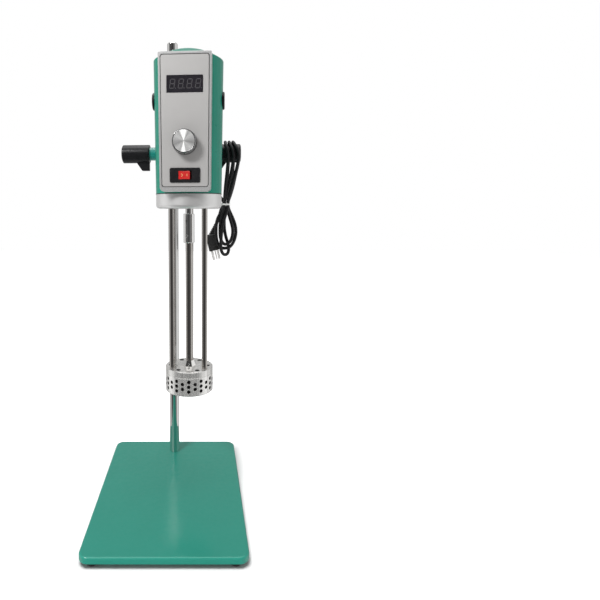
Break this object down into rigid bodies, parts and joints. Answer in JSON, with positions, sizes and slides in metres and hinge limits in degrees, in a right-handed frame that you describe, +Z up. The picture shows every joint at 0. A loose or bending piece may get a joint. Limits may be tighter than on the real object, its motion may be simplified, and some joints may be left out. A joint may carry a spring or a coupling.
{
  "type": "high shear mixer",
  "caption": "Laboratory high shear mixer: a motor head with speed panel on a column stand carries a shaft with a slotted rotor in a perforated stator, and a coiled cord.",
  "frame": {"origin": "on the table plane, under the middle of the base plate", "axes": "+Z up along the column, +X to the right seen from the front, +Y to the back; the front panel faces -Y, turned 4 degrees to the left"},
  "size_m": [0.2067, 0.2762, 0.665],
  "materials": {
    "plate_metal": "satin",
    "polished_steel": "polished",
    "chrome": "polished",
    "green_enamel": "gloss",
    "clamp_metal": "gloss",
    "silver_metal": "satin",
    "panel_shell": "gloss",
    "black_plastic": "satin",
    "black_gloss": "gloss",
    "rubber": "matte",
    "spun_aluminium": "spun",
    "display_glass": "gloss",
    "red_plastic": "gloss",
    "copper": "varnished",
    "laminated_steel": "matte",
    "carbon": "matte",
    "spring_steel": "satin",
    "board": "gloss",
    "bronze": "satin",
    "cord_rubber": "satin",
    "white_plastic": "satin",
    "pin_metal": "polished"
  },
  "bodies": {
    "stand": {"base_plate": "plate_metal", "base_feet": "rubber", "foot_screws": "polished_steel", "column": "polished_steel", "column_bolt": "spring_steel"},
    "head": {"clamp_body": "clamp_metal", "head_rod": "polished_steel", "lower_flange": "silver_metal", "motor_housing": "green_enamel", "top_cap": "green_enamel", "cap_screws": "polished_steel", "panel_box": "panel_shell", "face_plate": "silver_metal", "display_window": "display_glass", "display_module": "black_plastic", "control_board": "board", "potentiometer": "black_plastic", "switch_bezel": "black_gloss", "switch_body": "black_plastic", "brush_caps": "black_plastic", "brush_holders": "bronze", "carbon_brushes": "carbon", "brush_springs": "spring_steel", "field_stack": "laminated_steel", "field_coils": "copper", "motor_bolts": "spring_steel", "bearing_bracket": "spun_aluminium", "upper_bearing": "chrome", "lower_bearing": "chrome", "support_rod_left": "polished_steel", "support_rod_right": "polished_steel", "support_rod_rear": "polished_steel", "stator_top_plate": "chrome", "stator_skirt": "chrome", "shaft_bush": "polished_steel", "stator_screws": "spring_steel", "cord_gland": "black_plastic", "cord_lead": "cord_rubber", "cord_hank": "cord_rubber", "cord_tie": "white_plastic", "cord_tail": "cord_rubber", "plug_body": "cord_rubber", "plug_pins": "pin_metal"},
    "left_clamp": {"left_clamp_knob": "black_plastic", "left_clamp_stud": "polished_steel"},
    "right_clamp": {"right_clamp_knob": "black_plastic", "right_clamp_stud": "polished_steel"},
    "speed_control": {"speed_knob": "spun_aluminium", "speed_spindle": "spring_steel"},
    "power_switch": {"power_rocker": "red_plastic"},
    "rotor_train": {"motor_shaft": "polished_steel", "armature_core": "laminated_steel", "armature_windings": "copper", "commutator": "copper", "cooling_fan": "white_plastic", "coupling": "chrome", "coupling_screws": "spring_steel", "drive_shaft": "polished_steel", "rotor": "polished_steel", "rotor_nut": "polished_steel"}
  },
  "joints": [
    {"name": "head_lift", "type": "slide", "parent": "stand", "child": "head", "axis": [0, 0, 1], "range_m": [-0.12, 0.14]},
    {"name": "left_clamp_turn", "type": "hinge", "parent": "head", "child": "left_clamp", "pos_m": [-0.05985, 0.11119, 0.499], "axis": [0.9976, -0.0698, 0], "range_deg": [-360, 0]},
    {"name": "right_clamp_turn", "type": "hinge", "parent": "head", "child": "right_clamp", "pos_m": [0.08379, 0.10114, 0.499], "axis": [-0.9976, 0.0698, 0], "range_deg": [-360, 0]},
    {"name": "speed_turn", "type": "hinge", "parent": "head", "child": "speed_control", "pos_m": [0.02207, -0.02185, 0.4991], "axis": [0.0698, 0.9976, 0], "range_deg": [0, 290]},
    {"name": "power_tilt", "type": "hinge", "parent": "head", "child": "power_switch", "pos_m": [0.02262, -0.01387, 0.4568], "axis": [0, 0, 1], "range_deg": [0, 16]},
    {"name": "rotor_spin", "type": "hinge", "parent": "head", "child": "rotor_train", "pos_m": [0.02625, 0.038, 0.4135], "axis": [0, 0, 1], "continuous": true}
  ]
}
